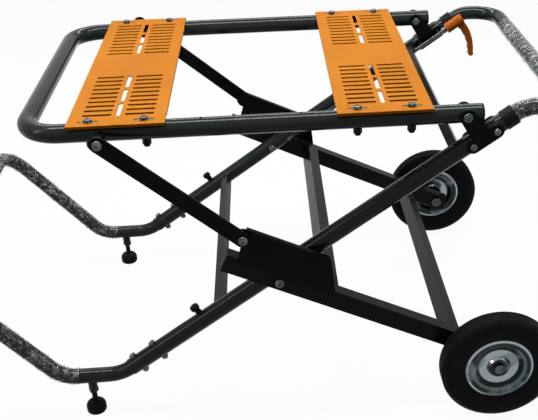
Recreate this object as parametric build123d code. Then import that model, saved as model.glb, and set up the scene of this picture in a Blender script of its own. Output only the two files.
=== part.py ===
# Folding wheeled stand for a mitre saw, in millimetres, +Z up, +X along the rails.
# The near side is y < 0. The stand is the same on both sides, apart from the release rod.
import math
import os

from build123d import *

os.makedirs("parts", exist_ok=True)

# Tubes
tube_r = 19.0                 # rails and leg tubes, 38 mm outside
tube_wall = 2.0
loop_r = 16.9                 # toe loop and handle plug into the leg tubes
film_r = 18.4                 # packing film around the loops
rail_y = 328.0                # tube centre lines, each side of the middle

# Pivots in the side view, before the shift that centres the stand
rail_z = 682.5
p1_x = 421.5                  # top frame on the leg frame
p2_x = 34.6                   # wheel legs on the leg tubes
p2_z = 345.5
p3_x = -34.0                  # strap on the fold bracket
p3_z = 459.0
p4_x = -293.0                 # strap on the rail
leg_angle = 34.24             # leg tubes above level

# Top frame and saw plates
rail_end_x = 453.0
rail_cross_x = -450.0
rail_corner_r = 75.0
plate_x = (-263.0, 260.0)
plate_size_x = 190.0
plate_size_y = 700.0
plate_t = 2.0
plate_lip = 4.0
louvre_tab = 6.5              # tongue bent down at each louvre slot
screw_dx = 54.0
slot_length = 40.0
slot_w = 9.0

# Toe loop and handle
toe_floor_z = 98.0
toe_rise_x = -457.7
toe_cross_x = -686.0
toe_angle = 49.3
handle_z = 690.0
handle_cross_x = 632.0
foot_x = -396.0

# Wheels and wheel legs
wheel_x = 499.5
wheel_r = 127.0
wheel_y0 = 395.0
wheel_y1 = 443.0
rim_r = 75.0
axle_r = 8.0
wheel_leg_angle = 25.5
wheel_leg_h = 40.0
wheel_leg_y0 = 352.0
wheel_leg_y1 = 382.0
wheel_leg_wall = 2.0
bracket_t = 3.0               # fold bracket sheet

# Straps
strap_y0 = 389.4
strap_t = 5.0
strap_r = 16.2

# Release rod on the inner side of the far leg
rod_y = 290.0
rod_r = 5.0
bolt_r = 6.0
run = 0.05                    # running clearance of a pivot

# The shift puts the origin under the middle of the whole stand
shift = -((toe_cross_x - film_r) + (handle_cross_x + film_r)) / 2

ca = math.cos(math.radians(leg_angle))
sa = math.sin(math.radians(leg_angle))
cb = math.cos(math.radians(wheel_leg_angle))
sb = math.sin(math.radians(wheel_leg_angle))


def save(node, shape):
    """Write one named piece."""
    shape.label = node
    export_step(shape, "parts/" + node + ".step")


def both(node, shape):
    """Write a near piece and its far mirror image."""
    save(node + "_near", shape)
    save(node + "_far", mirror(shape, about=Plane.XZ))


def group(shapes):
    """Several loose solids that make one piece."""
    return Compound(children=[s.solid() for s in shapes])


def slab(sketch, y0, y1):
    """A side-view outline as a slab from y0 to y1."""
    return extrude(Plane.XZ.offset(-y1) * Pos(shift, 0) * sketch, y1 - y0)


def pin(x, z, r, y0, y1):
    """A round pin across the stand."""
    return slab(Pos(x, z) * Circle(r), y0, y1)


def hexa(x, z, r, y0, y1):
    """A hexagon nut or head across the stand."""
    return slab(Pos(x, z) * RegularPolygon(r, 6), y0, y1)


def on_leg(s, n):
    """Side-view point: s up the leg tube from the wheel-leg pivot, n above its centre line."""
    return p2_x + s * ca - n * sa, p2_z + s * sa + n * ca


def on_wheel_leg(u, v):
    """Side-view point: u up the wheel leg from the axle, v above its centre line."""
    return wheel_x - u * cb + v * sb, wheel_r + u * sb + v * cb


def leg_plane(s, n, y):
    """Plane square to the leg tube, its normal pointing up the tube."""
    x, z = on_leg(s, n)
    return Plane(origin=(x + shift, y, z), x_dir=(0, 1, 0), z_dir=(ca, 0, sa))


def leg_stub(s, y, r, n0, n1):
    """A round piece standing square on the leg tube."""
    x, z = on_leg(s, n0)
    base = Plane(origin=(x + shift, y, z), x_dir=(0, 1, 0), z_dir=(-sa, 0, ca))
    return extrude(base * Circle(r), n1 - n0)


def leg_nut(s, y, r, n0, n1):
    """A hexagon square on the leg tube."""
    x, z = on_leg(s, n0)
    base = Plane(origin=(x + shift, y, z), x_dir=(0, 1, 0), z_dir=(-sa, 0, ca))
    return extrude(base * RegularPolygon(r, 6), n1 - n0)


def leg_bar(s, y, r, s1):
    """A round bar along the leg tube."""
    return extrude(leg_plane(s, 0, y) * Circle(r), s1 - s)


def bent(points, radii):
    """A line of straight runs with a round bend at each inner point."""
    pts = [Vector(p[0] + shift, p[1], p[2]) for p in points]
    edges = []
    start = pts[0]
    for i in range(1, len(pts) - 1):
        a = (pts[i - 1] - pts[i]).normalized()
        b = (pts[i + 1] - pts[i]).normalized()
        half = math.acos(max(-1.0, min(1.0, a.dot(b)))) / 2
        reach = radii[i - 1] / math.tan(half)
        t0 = pts[i] + a * reach
        t1 = pts[i] + b * reach
        mid = (a + b).normalized()
        top = pts[i] + mid * (radii[i - 1] / math.sin(half) - radii[i - 1])
        if (t0 - start).length > 0.01:
            edges.append(Edge.make_line(start, t0))
        edges.append(Edge.make_three_point_arc(t0, top, t1))
        start = t1
    edges.append(Edge.make_line(start, pts[-1]))
    return Wire(edges)


def tube(path, r, ri):
    """A hollow tube along a bent line."""
    first = path % 0
    base = Plane(origin=path @ 0, z_dir=first)
    outer = sweep(base * Circle(r), path=path)
    inner = sweep(base * Circle(ri), path=path)
    return outer - inner


def hull(circles):
    """A flat plate drawn around several rounds, each given as x, z, r."""
    shape = Sketch()
    for x0, z0, r0 in circles:
        shape += Pos(x0, z0) * Circle(r0)
    for i in range(len(circles)):
        x0, z0, r0 = circles[i]
        x1, z1, r1 = circles[(i + 1) % len(circles)]
        d = math.hypot(x1 - x0, z1 - z0)
        lean = math.atan2(z1 - z0, x1 - x0)
        off = math.acos((r0 - r1) / d)
        corners = []
        for sign in (1, -1):
            c, s = math.cos(lean + sign * off), math.sin(lean + sign * off)
            corners.append(((x0 + r0 * c, z0 + r0 * s), (x1 + r1 * c, z1 + r1 * s)))
        (a, b), (d2, c2) = corners
        shape += make_face(Polyline(a, b, c2, d2, close=True))
    inside = [(x, z) for x, z, r in circles]
    if len(inside) > 2:
        shape += make_face(Polyline(*inside, close=True))
    return shape


# Leg frame: two leg tubes with bolt holes
leg_s0 = -410.0
leg_s1 = 575.0
toe_bolt_s = (-389.0, -334.0)
bracket_s = (485.5, 540.5)
lower_bar_s = -160.0
upper_bar_s = 450.5
bar = 20.0
peg_s = -201.5
p1_n = -(p1_x - p2_x) * sa + (rail_z - p2_z) * ca

leg = leg_bar(leg_s0, -rail_y, tube_r, leg_s1)
leg -= leg_bar(leg_s0 - 1, -rail_y, tube_r - tube_wall, leg_s1 + 1)
for s in toe_bolt_s:
    leg -= leg_stub(s, -rail_y, 4.1, -30, 30)
for s in bracket_s:
    leg -= pin(*on_leg(s, 0), 4.1, -rail_y - 30, -rail_y + 30)
leg -= pin(p2_x, p2_z, bolt_r + 0.1, -rail_y - 30, -rail_y + 30)
leg -= leg_stub(peg_s, -rail_y, 4.1, 0, 30)
both("leg_tube", leg)

# Toe loop: plug, floor run, rise and crossing in one bent tube
toe_rise_z = toe_floor_z + (toe_rise_x - toe_cross_x) * math.tan(math.radians(toe_angle))
toe_bend_x = p2_x + (toe_floor_z - p2_z) / math.tan(math.radians(leg_angle))
plug_x, plug_z = on_leg(-300.0, 0)
toe_half = [(plug_x, plug_z), (toe_bend_x, toe_floor_z)]
toe_half += [(toe_rise_x, toe_floor_z), (toe_cross_x, toe_rise_z)]
toe_pts = [(x, -rail_y, z) for x, z in toe_half] + [(x, rail_y, z) for x, z in reversed(toe_half)]
toe_bends = [90, 70, 70, 70, 70, 90]
toe = tube(bent(toe_pts, toe_bends), loop_r, loop_r - tube_wall)
for y in (-rail_y, rail_y):
    for s in toe_bolt_s:
        toe -= leg_stub(s, y, 4.1, -30, 30)
    toe -= Pos(foot_x + shift, y, toe_floor_z - 20) * Cylinder(6.2, 30)
save("toe_loop", toe)

film_toe_pts = [(-420, -rail_y, toe_floor_z)] + toe_pts[2:6] + [(-415, rail_y, toe_floor_z)]
save("toe_film", tube(bent(film_toe_pts, [70, 70, 70, 70]), film_r, loop_r + 0.2))

# Handle: the upper loop, plugged into the leg tubes
grip_x, grip_z = on_leg(505.0, 0)
grip_bend_x = p2_x + (handle_z - p2_z) / math.tan(math.radians(leg_angle))
grip_half = [(grip_x, grip_z), (grip_bend_x, handle_z), (handle_cross_x, handle_z)]
grip_pts = [(x, -rail_y, z) for x, z in grip_half] + [(x, rail_y, z) for x, z in reversed(grip_half)]
handle = tube(bent(grip_pts, [70, 64, 64, 70]), loop_r, loop_r - tube_wall)
for y in (-rail_y, rail_y):
    handle -= pin(*on_leg(bracket_s[1], 0), 4.1, y - 30, y + 30)
save("handle_loop", handle)

film_x, film_z = on_leg(590.2, 0)
film_pts = [(film_x, -rail_y, film_z)] + grip_pts[1:3] + [(handle_cross_x, 205.0, handle_z)]
save("handle_film", tube(bent(film_pts, [70, 64]), film_r, loop_r + 0.2))

# Collars where the handle enters the leg tubes
collar = leg_bar(562.0, -rail_y, 21.0, 589.5)
collar -= leg_bar(561.0, -rail_y, tube_r + 0.1, leg_s1)
collar -= leg_bar(leg_s1 - 1, -rail_y, loop_r + 0.2, 592.0)
both("handle_collar", collar)

# Square cross bars between the leg tubes, their ends cut to the round tubes
def cross_bar(s):
    x, z = on_leg(s, 0)
    outer = slab(Pos(x, z) * Rot(0, 0, leg_angle) * Rectangle(bar, bar), -rail_y + 10, rail_y - 10)
    inner = slab(Pos(x, z) * Rot(0, 0, leg_angle) * Rectangle(bar - 4, bar - 4), -rail_y, rail_y)
    shape = outer - inner
    for y in (-rail_y, rail_y):
        shape -= leg_bar(s - 60, y, tube_r + 0.02, s + 60)
    return shape


save("lower_cross_bar", cross_bar(lower_bar_s))
save("upper_cross_bar", cross_bar(upper_bar_s) - leg_bar(300.0, rod_y, rod_r + run, 560.0))

# Pivot brackets: two plates clamp each leg tube and hold the end of the rail between them
b0 = on_leg(bracket_s[0], 0)
b1 = on_leg(bracket_s[1], 0)
neck = [(p1_x, rail_z, 16.0), (*on_leg(502.0, 8.0), 12.0), (*on_leg(519.0, 8.0), 12.0)]
cheek = hull(neck) + hull([(*b0, 15.0), (*b1, 15.0)])
for x, z, r in ((p1_x, rail_z, bolt_r + 0.1), (b0[0], b0[1], 4.1), (b1[0], b1[1], 4.1)):
    cheek -= Pos(x, z) * Circle(r)
cheek_gap = tube_r + 0.3
cheek_t = 4.0
both("pivot_plate_outer", slab(cheek, -rail_y - cheek_gap - cheek_t, -rail_y - cheek_gap))
both("pivot_plate_inner", slab(cheek, -rail_y + cheek_gap, -rail_y + cheek_gap + cheek_t))


def through_bolt(x, z, r, head_r, y_out, y_in):
    """Bolt with a domed head on the outer side and a nut on the inner side."""
    shank = pin(x, z, r, -rail_y - y_out, -rail_y + y_in + 9)
    head = pin(x, z, head_r, -rail_y - y_out - 6, -rail_y - y_out)
    head = fillet(head.faces().sort_by(Axis.Y)[0].edges(), 3.5)
    nut = hexa(x, z, head_r, -rail_y + y_in, -rail_y + y_in + 7)
    return shank + head + nut


clamp = cheek_gap + cheek_t
both("pivot_bolt", through_bolt(p1_x, rail_z, bolt_r, 10.0, clamp, clamp))
both("bracket_bolts", group([through_bolt(x, z, 4.0, 7.5, clamp, clamp) for x, z in (b0, b1)]))

# Pivot bolts of the wheel legs: low head outside, washer between the tubes, nut inside
leg_bolt = pin(p2_x, p2_z, bolt_r, -383.0, -rail_y + tube_r + 10)
leg_bolt += pin(p2_x, p2_z, 11.0, -348.7, -rail_y - tube_r)
leg_bolt_head = pin(p2_x, p2_z, 10.0, -386.6, -wheel_leg_y1 - 0.3)
leg_bolt += fillet(leg_bolt_head.faces().sort_by(Axis.Y)[0].edges(), 2.0)
leg_bolt += hexa(p2_x, p2_z, 10.0, -rail_y + tube_r, -rail_y + tube_r + 8)
both("leg_pivot_bolt", leg_bolt)


def toe_bolt(s):
    """Bolt square through the leg tube: round head above, nut below."""
    shape = leg_stub(s, -rail_y, 4.0, -tube_r - 10, tube_r)
    shape += leg_stub(s, -rail_y, 7.5, tube_r, tube_r + 5.5)
    shape += leg_nut(s, -rail_y, 7.5, -tube_r - 7, -tube_r)
    return shape


both("toe_bolts", group([toe_bolt(s) for s in toe_bolt_s]))

# Rubber rests that carry the folded top frame
peg = leg_stub(peg_s, -rail_y, 4.0, 10, tube_r + 2)
peg += leg_stub(peg_s, -rail_y, 7.0, tube_r, p1_n - tube_r - 8)
peg_top = leg_stub(peg_s, -rail_y, 10.0, p1_n - tube_r - 12, p1_n - tube_r - 0.5)
peg += fillet(peg_top.edges(), 3.0)
both("rest_bumper", peg)

# Foot sockets under the toe loop, each with a lock nut
socket_top = toe_floor_z
socket = Pos(foot_x + shift, -rail_y, (66 + socket_top) / 2) * Cylinder(10.0, socket_top - 66)
loop_run = Pos(foot_x + shift, -rail_y, toe_floor_z) * Rot(0, 90, 0) * Cylinder(loop_r + 0.02, 60)
socket -= loop_run
nut_base = Plane(origin=(foot_x + shift, -rail_y, 56.0), z_dir=(0, 0, 1))
socket += extrude(nut_base * RegularPolygon(11.0, 6), 10)
socket -= Pos(foot_x + shift, -rail_y, 60) * Cylinder(bolt_r + run, 120)
both("foot_socket", socket)

# Rubber feet on threaded studs
stud = Pos(foot_x + shift, -rail_y, 51) * Cylinder(bolt_r, 62)
pad = Pos(foot_x + shift, -rail_y, 14) * Cylinder(22.0, 28)
pad = fillet(pad.edges().sort_by(Axis.Z)[-1], 13.0)
pad = fillet(pad.edges().sort_by(Axis.Z)[0], 6.0)
both("foot", pad + stud)

# Spring barrel of the release pin, held to the far leg tube by a lug
barrel = leg_bar(75.0, rod_y, 11.0, 115.0)
lug_x, lug_z = on_leg(95.0, 0)
lug = slab(Pos(lug_x, lug_z) * Rot(0, 0, leg_angle) * Rectangle(24.0, 12.0), rod_y, rail_y)
lug -= leg_bar(60.0, rail_y, tube_r + 0.02, 130.0)
barrel = barrel + lug - leg_bar(60.0, rod_y, rod_r + run, 130.0)
save("release_barrel", barrel)

# Release rod with its thrust collar
rod = leg_bar(52.0, rod_y, rod_r, 606.0)
rod += leg_bar(550.0, rod_y, 8.0, 562.0)
save("release_rod", rod)

# Release lever: round hub on the rod and a curved arm with finger waves
hub = leg_bar(562.4, rod_y, 13.5, 611.0)
hub = fillet(hub.edges().sort_by(Axis.X)[-1], 4.0)
arm_steps = 32
left_edge = []
right_edge = []
for i in range(arm_steps + 1):
    t = i / arm_steps
    s = 599.0 + 14.0 * t - 34.0 * t * t
    n = -8.0 - 84.0 * t
    half_w = 10.0 - 3.4 * t
    wave = 1.1 * math.sin(8 * math.pi * t)
    left_edge.append(on_leg(s - half_w - wave, n))
    right_edge.append(on_leg(s + half_w, n))
outline = make_face(Polyline(*left_edge, *reversed(right_edge), close=True))
arm = slab(outline, rod_y - 8.0, rod_y + 8.0)
tip_x, tip_z = on_leg(579.0, -92.0)
arm += pin(tip_x, tip_z, 6.6, rod_y - 8.0, rod_y + 8.0)
lever = hub + arm
lever -= leg_bar(540.0, rod_y, rod_r + run, 606.5)
save("release_lever", lever)

# Top frame: one bent tube with drilled rails
top_pts = [(rail_end_x, -rail_y, rail_z), (rail_cross_x, -rail_y, rail_z)]
top_pts += [(rail_cross_x, rail_y, rail_z), (rail_end_x, rail_y, rail_z)]
frame_tube = tube(bent(top_pts, [rail_corner_r, rail_corner_r]), tube_r, tube_r - tube_wall)
screws = [(px + dx, y) for px in plate_x for dx in (-screw_dx, screw_dx) for y in (-rail_y, rail_y)]
for x, y in screws:
    frame_tube -= Pos(x + shift, y, rail_z) * Cylinder(4.1, 60)
for y in (-rail_y, rail_y):
    frame_tube -= pin(p1_x, rail_z, bolt_r + run, y - 30, y + 30)
    frame_tube -= pin(p4_x, rail_z, bolt_r + 0.1, y - 30, y + 30)
    for x in (-100.0, 95.0):
        frame_tube -= Pos(x + shift, y, rail_z + 20) * Cylinder(3.5, 30)
save("top_frame_tube", frame_tube)

# Closed caps in the open rail ends
caps = []
for y in (-rail_y, rail_y):
    cap = Pos(rail_end_x + 2.0 + shift, y, rail_z) * Rot(0, 90, 0) * Cylinder(tube_r, 4.0)
    cap = fillet(cap.edges().sort_by(Axis.X)[-1], 3.0)
    core = Cylinder(tube_r - tube_wall - 0.1, 14.0)
    cap += Pos(rail_end_x - 7.0 + shift, y, rail_z) * Rot(0, 90, 0) * core
    caps.append(cap)
save("rail_caps", group(caps))

# Straps with their spacers and pivot bolts on the rails
strap = hull([(p4_x, rail_z, strap_r), (p3_x, p3_z, strap_r)])
strap -= Pos(p4_x, rail_z) * Circle(bolt_r + run)
strap -= Pos(p3_x, p3_z) * Circle(bolt_r + 0.1)
both("strap", slab(strap, -strap_y0 - strap_t, -strap_y0))

spacer = pin(p4_x, rail_z, 9.0, -strap_y0 + 0.3, -rail_y - tube_r + 3)
spacer -= pin(p4_x, rail_z, bolt_r + 0.1, -strap_y0, -rail_y)
rail_run = Pos(p4_x + shift, -rail_y, rail_z) * Rot(0, 90, 0) * Cylinder(tube_r + 0.02, 80)
both("strap_spacer", spacer - rail_run)

strap_face = strap_y0 + strap_t
strap_bolt = pin(p4_x, rail_z, bolt_r, -strap_face - 0.4, -rail_y + tube_r + 9)
strap_bolt_head = pin(p4_x, rail_z, 10.0, -strap_face - 6.0, -strap_face - 0.3)
strap_bolt += fillet(strap_bolt_head.faces().sort_by(Axis.Y)[0].edges(), 3.0)
strap_bolt += hexa(p4_x, rail_z, 10.0, -rail_y + tube_r, -rail_y + tube_r + 7)
both("strap_bolt", strap_bolt)

# Pivot stud at the lower end of the strap, with the washer that runs on the bracket
strap_stud = pin(p3_x, p3_z, bolt_r, -strap_face - 1, -strap_y0 + 1)
strap_stud += pin(p3_x, p3_z, 11.0, -strap_y0, -385.4)
strap_stud_head = pin(p3_x, p3_z, 10.0, -strap_face - 5.7, -strap_face)
strap_stud += fillet(strap_stud_head.faces().sort_by(Axis.Y)[0].edges(), 3.0)
both("strap_stud", strap_stud)


# Saw plates: folded sheet with louvre slots, long centre slots and screw slots
plate_z = rail_z + tube_r + 0.3
def saw_plate(px):
    sheet = Pos(px + shift, 0, plate_z + plate_t / 2) * Box(plate_size_x, plate_size_y, plate_t)
    for side in (-1, 1):
        y = side * (plate_size_y / 2 - plate_t / 2)
        lip_z = plate_z - plate_lip / 2 + 0.5
        sheet += Pos(px + shift, y, lip_z) * Box(plate_size_x, plate_t, plate_lip + 1)
        x = px + side * (plate_size_x / 2 - plate_t / 2)
        sheet += Pos(x + shift, 0, lip_z) * Box(plate_t, 600.0, plate_lip + 1)
    cuts = Sketch()
    louvres = []
    tab_t = 1.5
    for side in (-1, 1):
        for dx in (-screw_dx, screw_dx):
            cuts += Pos(dx, side * rail_y) * SlotOverall(slot_length, slot_w)
        for row in range(10):
            y = side * (80.0 + row * 24.0)
            for dx in (-42.0, 42.0):
                cuts += Pos(dx, y) * Rectangle(57.0, 9.0)
                louvres.append((dx, y))
        for y in (110.0, 190.0, 270.0):
            cuts += Pos(0, side * y) * SlotOverall(66.0, slot_w, rotation=90)
    holes = extrude(Plane(origin=(px + shift, 0, plate_z - 1)) * cuts, plate_t + 2)
    sheet -= holes
    for dx, y in louvres:
        tab_at = Pos(px + dx + shift, y + 4.5 + tab_t / 2, plate_z + plate_t - (louvre_tab + plate_t) / 2)
        sheet += tab_at * Box(57.0, tab_t, louvre_tab + plate_t)
    return sheet


save("left_plate", saw_plate(plate_x[0]))
save("right_plate", saw_plate(plate_x[1]))


def plate_screw(x, y):
    """Pan-head screw on a washer, down through the rail."""
    top = plate_z + plate_t + 0.3
    low = rail_z - tube_r
    shape = Pos(x + shift, y, (top + low - 12) / 2) * Cylinder(4.0, top - low + 12)
    shape += Pos(x + shift, y, top + 0.8) * Cylinder(9.5, 1.6)
    head = Pos(x + shift, y, top + 4.0) * Cylinder(7.5, 5.0)
    shape += fillet(head.edges().sort_by(Axis.Z)[-1], 3.0)
    shape -= Pos(x + shift, y, top + 6.5) * Box(11.0, 1.6, 2.4)
    shape -= Pos(x + shift, y, top + 6.5) * Box(1.6, 11.0, 2.4)
    return shape


def plate_nut(x, y):
    """Capped nut under the rail, with a collar that follows the round tube."""
    low = rail_z - tube_r
    base = Plane(origin=(x + shift, y, low - 11), z_dir=(0, 0, 1))
    shape = extrude(base * RegularPolygon(9.0, 6), 13)
    dome = Pos(x + shift, y, low - 13.5) * Cylinder(6.5, 5.0)
    shape += fillet(dome.edges().sort_by(Axis.Z)[0], 2.5)
    shape -= Pos(x + shift, y, rail_z) * Rot(0, 90, 0) * Cylinder(tube_r + 0.02, 60)
    return shape - Pos(x + shift, y, low) * Cylinder(4.02, 24.1)


save("plate_nuts", group([plate_nut(x, y) for x, y in screws]))
save("left_plate_screws", group([plate_screw(x, y) for x, y in screws[:4]]))
save("right_plate_screws", group([plate_screw(x, y) for x, y in screws[4:]]))

# Wheel legs: rectangular tubes from the fold bracket down to the axle
leg_u0 = -24.0
leg_u1 = 638.0
p2_u = (wheel_x - p2_x) * cb + (p2_z - wheel_r) * sb
p2_v = -(wheel_x - p2_x) * sb + (p2_z - wheel_r) * cb


def wheel_leg_box(u0, u1, v0, v1):
    """Side-view rectangle along the wheel leg."""
    corners = [on_wheel_leg(u, v) for u, v in ((u0, v0), (u1, v0), (u1, v1), (u0, v1))]
    return make_face(Polyline(*corners, close=True))


half_h = wheel_leg_h / 2
w = wheel_leg_wall
rail_leg = slab(wheel_leg_box(leg_u0, leg_u1, -half_h, half_h), -wheel_leg_y1, -wheel_leg_y0)
bore = wheel_leg_box(leg_u0 - 1, leg_u1 + 1, -half_h + w, half_h - w)
rail_leg -= slab(bore, -wheel_leg_y1 + w, -wheel_leg_y0 - w)
rail_leg -= pin(p2_x, p2_z, bolt_r + run, -400, -340)
rail_leg -= pin(wheel_x, wheel_r, axle_r + 0.1, -400, -340)
both("wheel_leg", rail_leg)

# Fold bracket: sheet on the outer side of the wheel leg, its top edge folded inward
p3_u = (wheel_x - p3_x) * cb + (p3_z - wheel_r) * sb
p3_v = -(wheel_x - p3_x) * sb + (p3_z - wheel_r) * cb
br_r = 21.0
br_low = 12.0
br_top = p3_v + br_r
br_flange = 12.0
web_line = [(392.0, br_low), (438.0, br_top), (p3_u, br_top), (p3_u, p3_v), (p3_u - 9, br_low)]
web = make_face(Polyline(*[on_wheel_leg(u, v) for u, v in web_line], close=True))
web += Pos(p3_x, p3_z) * Circle(br_r)
bracket = slab(web, -wheel_leg_y1 - bracket_t, -wheel_leg_y1 - 0.02)
flange = wheel_leg_box(440.0, p3_u, br_top - bracket_t, br_top)
bracket += slab(flange, -wheel_leg_y1 - bracket_t, -wheel_leg_y1 - bracket_t + br_flange)
rivet = pin(*on_wheel_leg(476.0, 76.0), 4.0, -wheel_leg_y1 - bracket_t - 1.5, -wheel_leg_y1)
both("fold_bracket", bracket + rivet)


# Cross bars of the wheel legs
def ladder_bar(u0, u1):
    shape = slab(wheel_leg_box(u0, u1, -half_h, half_h), -wheel_leg_y0, wheel_leg_y0)
    hollow = wheel_leg_box(u0 + w, u1 - w, -half_h + w, half_h - w)
    return shape - slab(hollow, -wheel_leg_y0 - 1, wheel_leg_y0 + 1)


save("mid_cross_bar", ladder_bar(386.2, 412.2))
save("rear_cross_bar", ladder_bar(93.7, 113.7))

# Plugs that close the ends of the wheel legs
plugs = []
plug_spans = [(leg_u0 - 3, leg_u0, leg_u0, leg_u0 + 12), (leg_u1, leg_u1 + 2, leg_u1 - 12, leg_u1)]
for u0, u1, in0, in1 in plug_spans:
    plug = slab(wheel_leg_box(u0, u1, -half_h, half_h), -wheel_leg_y1, -wheel_leg_y0)
    core = wheel_leg_box(in0, in1, -half_h + w + 0.1, half_h - w - 0.1)
    plug += slab(core, -wheel_leg_y1 + w + 0.1, -wheel_leg_y0 - w - 0.1)
    plugs.append(plug)
both("leg_plugs", group(plugs))

# Axle bolts: hexagon head inside, spacer, and a push-on cap outside the wheel
axle = pin(wheel_x, wheel_r, axle_r, -438.0, -wheel_leg_y0)
axle += hexa(wheel_x, wheel_r, 14.0, -wheel_leg_y0, -wheel_leg_y0 + 9)
axle += pin(wheel_x, wheel_r, 13.0, -385.7, -wheel_leg_y1)
axle += pin(wheel_x, wheel_r, 11.0, -440.0, -438.0)
both("axle_bolt", axle)


# Wheels: ribbed rubber tyre on a pressed steel rim with a hub tube
def turned(points):
    """Turn a half section, given as radius and y, about the axle."""
    half = make_face(Polyline(*points, close=True))
    ring = revolve(Plane(origin=(0, 0, 0), x_dir=(1, 0, 0), z_dir=(0, 0, 1)) * half, Axis.Y)
    return Pos(wheel_x + shift, 0, wheel_r) * ring


tyre_pts = [(rim_r + 0.1, -wheel_y0 - 5), (rim_r + 14, -wheel_y0 - 1), (wheel_r - 20, -wheel_y0)]
tyre_pts += [(wheel_r - 9, -wheel_y0 - 2), (wheel_r - 2.5, -wheel_y0 - 7.5)]
for i in range(4):
    y = -wheel_y0 - 11.5 - i * 8.3
    tyre_pts += [(wheel_r, y + 2.6), (wheel_r, y - 2.6), (wheel_r - 2.0, y - 3.4), (wheel_r - 2.0, y - 4.9)]
tyre_pts = tyre_pts[:-2]
tyre_pts += [(wheel_r - 2.5, -wheel_y1 + 7.5), (wheel_r - 9, -wheel_y1 + 2), (wheel_r - 20, -wheel_y1)]
tyre_pts += [(rim_r + 14, -wheel_y1 + 1), (rim_r + 0.1, -wheel_y1 + 5)]
both("tyre", turned(tyre_pts))

rim_pts = [(axle_r + run, -386.0), (15.0, -386.0), (15.0, -403.0), (22.0, -403.0), (26.5, -410.0)]
rim_pts += [(46.5, -410.0), (61.5, -400.5), (70.0, -399.0), (rim_r, -401.0), (rim_r, -437.0)]
rim_pts += [(70.0, -439.0), (61.5, -437.5), (46.5, -428.0), (26.5, -428.0), (22.0, -435.0)]
rim_pts += [(13.5, -435.0), (13.5, -437.5), (axle_r + run, -437.5)]
hollow_pts = [(28.0, -412.5), (45.5, -412.5), (60.5, -403.4), (69.0, -402.0), (72.5, -403.0)]
hollow_pts += [(72.5, -435.0), (69.0, -436.0), (60.5, -434.6), (45.5, -425.5), (28.0, -425.5)]
both("rim", turned(rim_pts) - turned(hollow_pts))
print("toe crossing height", round(toe_rise_z, 1), "rest height over leg", round(p1_n, 1))
print("strap pivot on the wheel leg", round(p3_u, 1), round(p3_v, 1), "shift", round(shift, 2))
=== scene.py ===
# %% [markdown]
# # A folding wheeled saw stand
# The stand comes in as a fixed set of measured pieces: tubes, plates, bolts and wheels. This
# lesson gives each piece its finish, adds the weld beads, the bolt sockets and the crinkled
# packing film, and lights it all as on a plain white studio floor.

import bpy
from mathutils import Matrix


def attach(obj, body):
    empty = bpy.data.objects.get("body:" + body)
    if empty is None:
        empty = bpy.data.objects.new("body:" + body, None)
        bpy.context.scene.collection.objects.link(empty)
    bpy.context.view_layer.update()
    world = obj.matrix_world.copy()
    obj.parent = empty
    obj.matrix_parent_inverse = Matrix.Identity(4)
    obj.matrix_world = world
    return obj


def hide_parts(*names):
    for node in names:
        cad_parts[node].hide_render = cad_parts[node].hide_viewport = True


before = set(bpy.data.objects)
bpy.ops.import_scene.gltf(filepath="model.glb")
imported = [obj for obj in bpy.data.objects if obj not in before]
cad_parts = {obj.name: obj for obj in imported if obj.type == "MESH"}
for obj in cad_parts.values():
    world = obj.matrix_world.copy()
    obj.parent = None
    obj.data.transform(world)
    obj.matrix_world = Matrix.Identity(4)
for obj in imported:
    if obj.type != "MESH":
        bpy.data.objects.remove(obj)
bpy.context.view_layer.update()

# %% [markdown]
# The maths, mesh and node tools are ordinary Python and Blender modules. Blender works in metres.
# The numbers repeat the stand's own drawing, which is in millimetres: MM turns them into metres,
# and the shift moves the drawing's x to the middle.

# %% Tools and the drawing's main numbers
import math

import bpy
import numpy as np
from mathutils import Matrix, Vector, noise

MM = 0.001
SHIFT_X = 27.0 * MM
TUBE_R = 19.0 * MM
LOOP_R = 16.9 * MM
RIM_R = 75.0 * MM
SIDE_Y = 328.0 * MM
LEG_PIVOT = (34.6 * MM, 345.5 * MM)
LEG_ANGLE = math.radians(34.24)
AXLE = (499.5 * MM, 127.0 * MM)
WHEEL_LEG_ANGLE = math.radians(25.5)
print("leg tubes lean", round(math.degrees(LEG_ANGLE), 2), "degrees")


def on_leg(s, n):
    """Side-view x and z: s up the leg tube from its pivot, n above its centre line."""
    ca, sa = math.cos(LEG_ANGLE), math.sin(LEG_ANGLE)
    return LEG_PIVOT[0] + s * ca - n * sa + SHIFT_X, LEG_PIVOT[1] + s * sa + n * ca


def on_wheel_leg(u, v):
    """Side-view x and z: u up the wheel leg from the axle, v above its centre line."""
    cb, sb = math.cos(WHEEL_LEG_ANGLE), math.sin(WHEEL_LEG_ANGLE)
    return AXLE[0] - u * cb + v * sb + SHIFT_X, AXLE[1] + u * sb + v * cb


# %% [markdown]
# ## The camera
# A camera can be set by eye, or worked out from the picture. Here the position, the direction and
# the lens were solved from points whose place on the stand is known, so the render lies over the
# photograph. The picture is a crop, so the lens centre is to the right of its middle: that is
# shift_x.

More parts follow.
